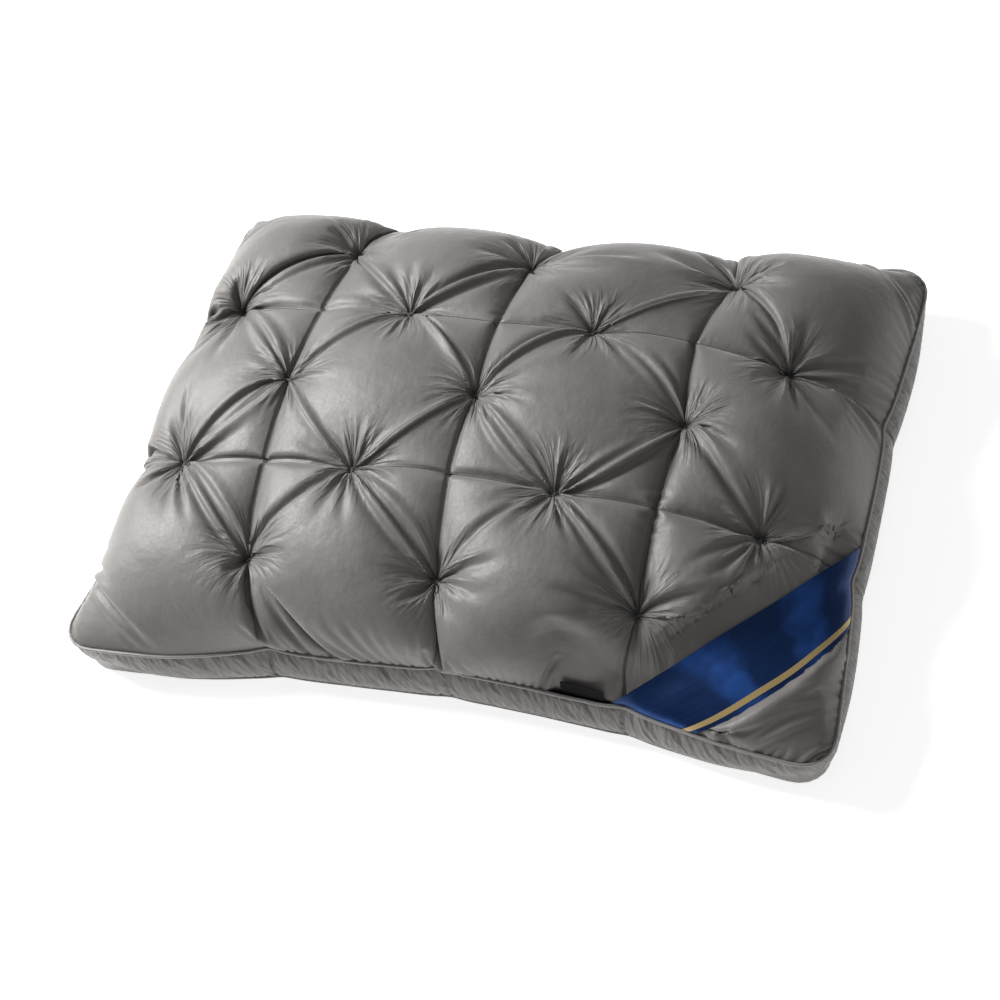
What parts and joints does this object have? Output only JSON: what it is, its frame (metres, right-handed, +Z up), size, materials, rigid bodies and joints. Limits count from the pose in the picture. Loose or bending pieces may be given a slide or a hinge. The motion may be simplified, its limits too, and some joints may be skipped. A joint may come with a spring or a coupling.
{
  "type": "bed pillow",
  "caption": "Rectangular boxed bed pillow with a tile-quilted, pinch-tufted grey top, piped seams, a blue satin corner ribbon with a gold stripe, and a black tab label.",
  "frame": {"origin": "middle of the underside, on the surface the pillow lies on", "axes": "+X along the pillow's length, +Y from the front long seam to the back one, +Z up out of the tufted top; the ribbon and the label are at the -Y side, towards +X"},
  "size_m": [0.6802, 0.5024, 0.1706],
  "materials": {
    "face_cloth": "slate grey brushed microfibre with a soft satin sheen",
    "side_cloth": "slate grey brushed microfibre, lightly puckered",
    "base_cloth": "slate grey brushed microfibre, plain",
    "piping_cloth": "silver grey satin bias strip",
    "piping_cord": "undyed cotton cord",
    "fibre_fill": "white crimped polyester fibre",
    "lining_cloth": "thin undyed non-woven backing",
    "thread": "dark grey spun polyester thread",
    "ribbon_satin": "royal blue satin ribbon",
    "gold_stripe": "old gold woven stripe",
    "label_cloth": "black damask woven tape, plain"
  },
  "bodies": {
    "pillow": {"bottom_panel": "base_cloth", "gusset_band": "side_cloth", "top_panel": "face_cloth", "top_piping_cover": "piping_cloth", "bottom_piping_cover": "piping_cloth", "top_piping_cord": "piping_cord", "bottom_piping_cord": "piping_cord", "core_fill": "fibre_fill", "quilt_lining": "lining_cloth", "tufting_ties": "thread", "top_seam_thread": "thread", "bottom_seam_thread": "thread", "ribbon_band": "ribbon_satin", "ribbon_stripe": "gold_stripe", "label_root": "label_cloth", "tile_fill_1_1": "fibre_fill", "tile_fill_1_2": "fibre_fill", "tile_fill_1_3": "fibre_fill", "tile_fill_1_4": "fibre_fill", "tile_fill_2_1": "fibre_fill", "tile_fill_2_2": "fibre_fill", "tile_fill_2_3": "fibre_fill", "tile_fill_2_4": "fibre_fill", "tile_fill_3_1": "fibre_fill", "tile_fill_3_2": "fibre_fill", "tile_fill_3_3": "fibre_fill", "tile_fill_3_4": "fibre_fill", "quilting_thread_v1": "thread", "quilting_thread_v2": "thread", "quilting_thread_v3": "thread", "quilting_thread_h1": "thread", "quilting_thread_h2": "thread"},
    "label": {"side_label": "label_cloth"}
  },
  "joints": [
    {"name": "label_flip", "type": "hinge", "parent": "pillow", "child": "label", "pos_m": [0.13221, -0.22207, 0.0529], "axis": [0.9965, -0.084, 0], "range_deg": [0, 115]}
  ]
}
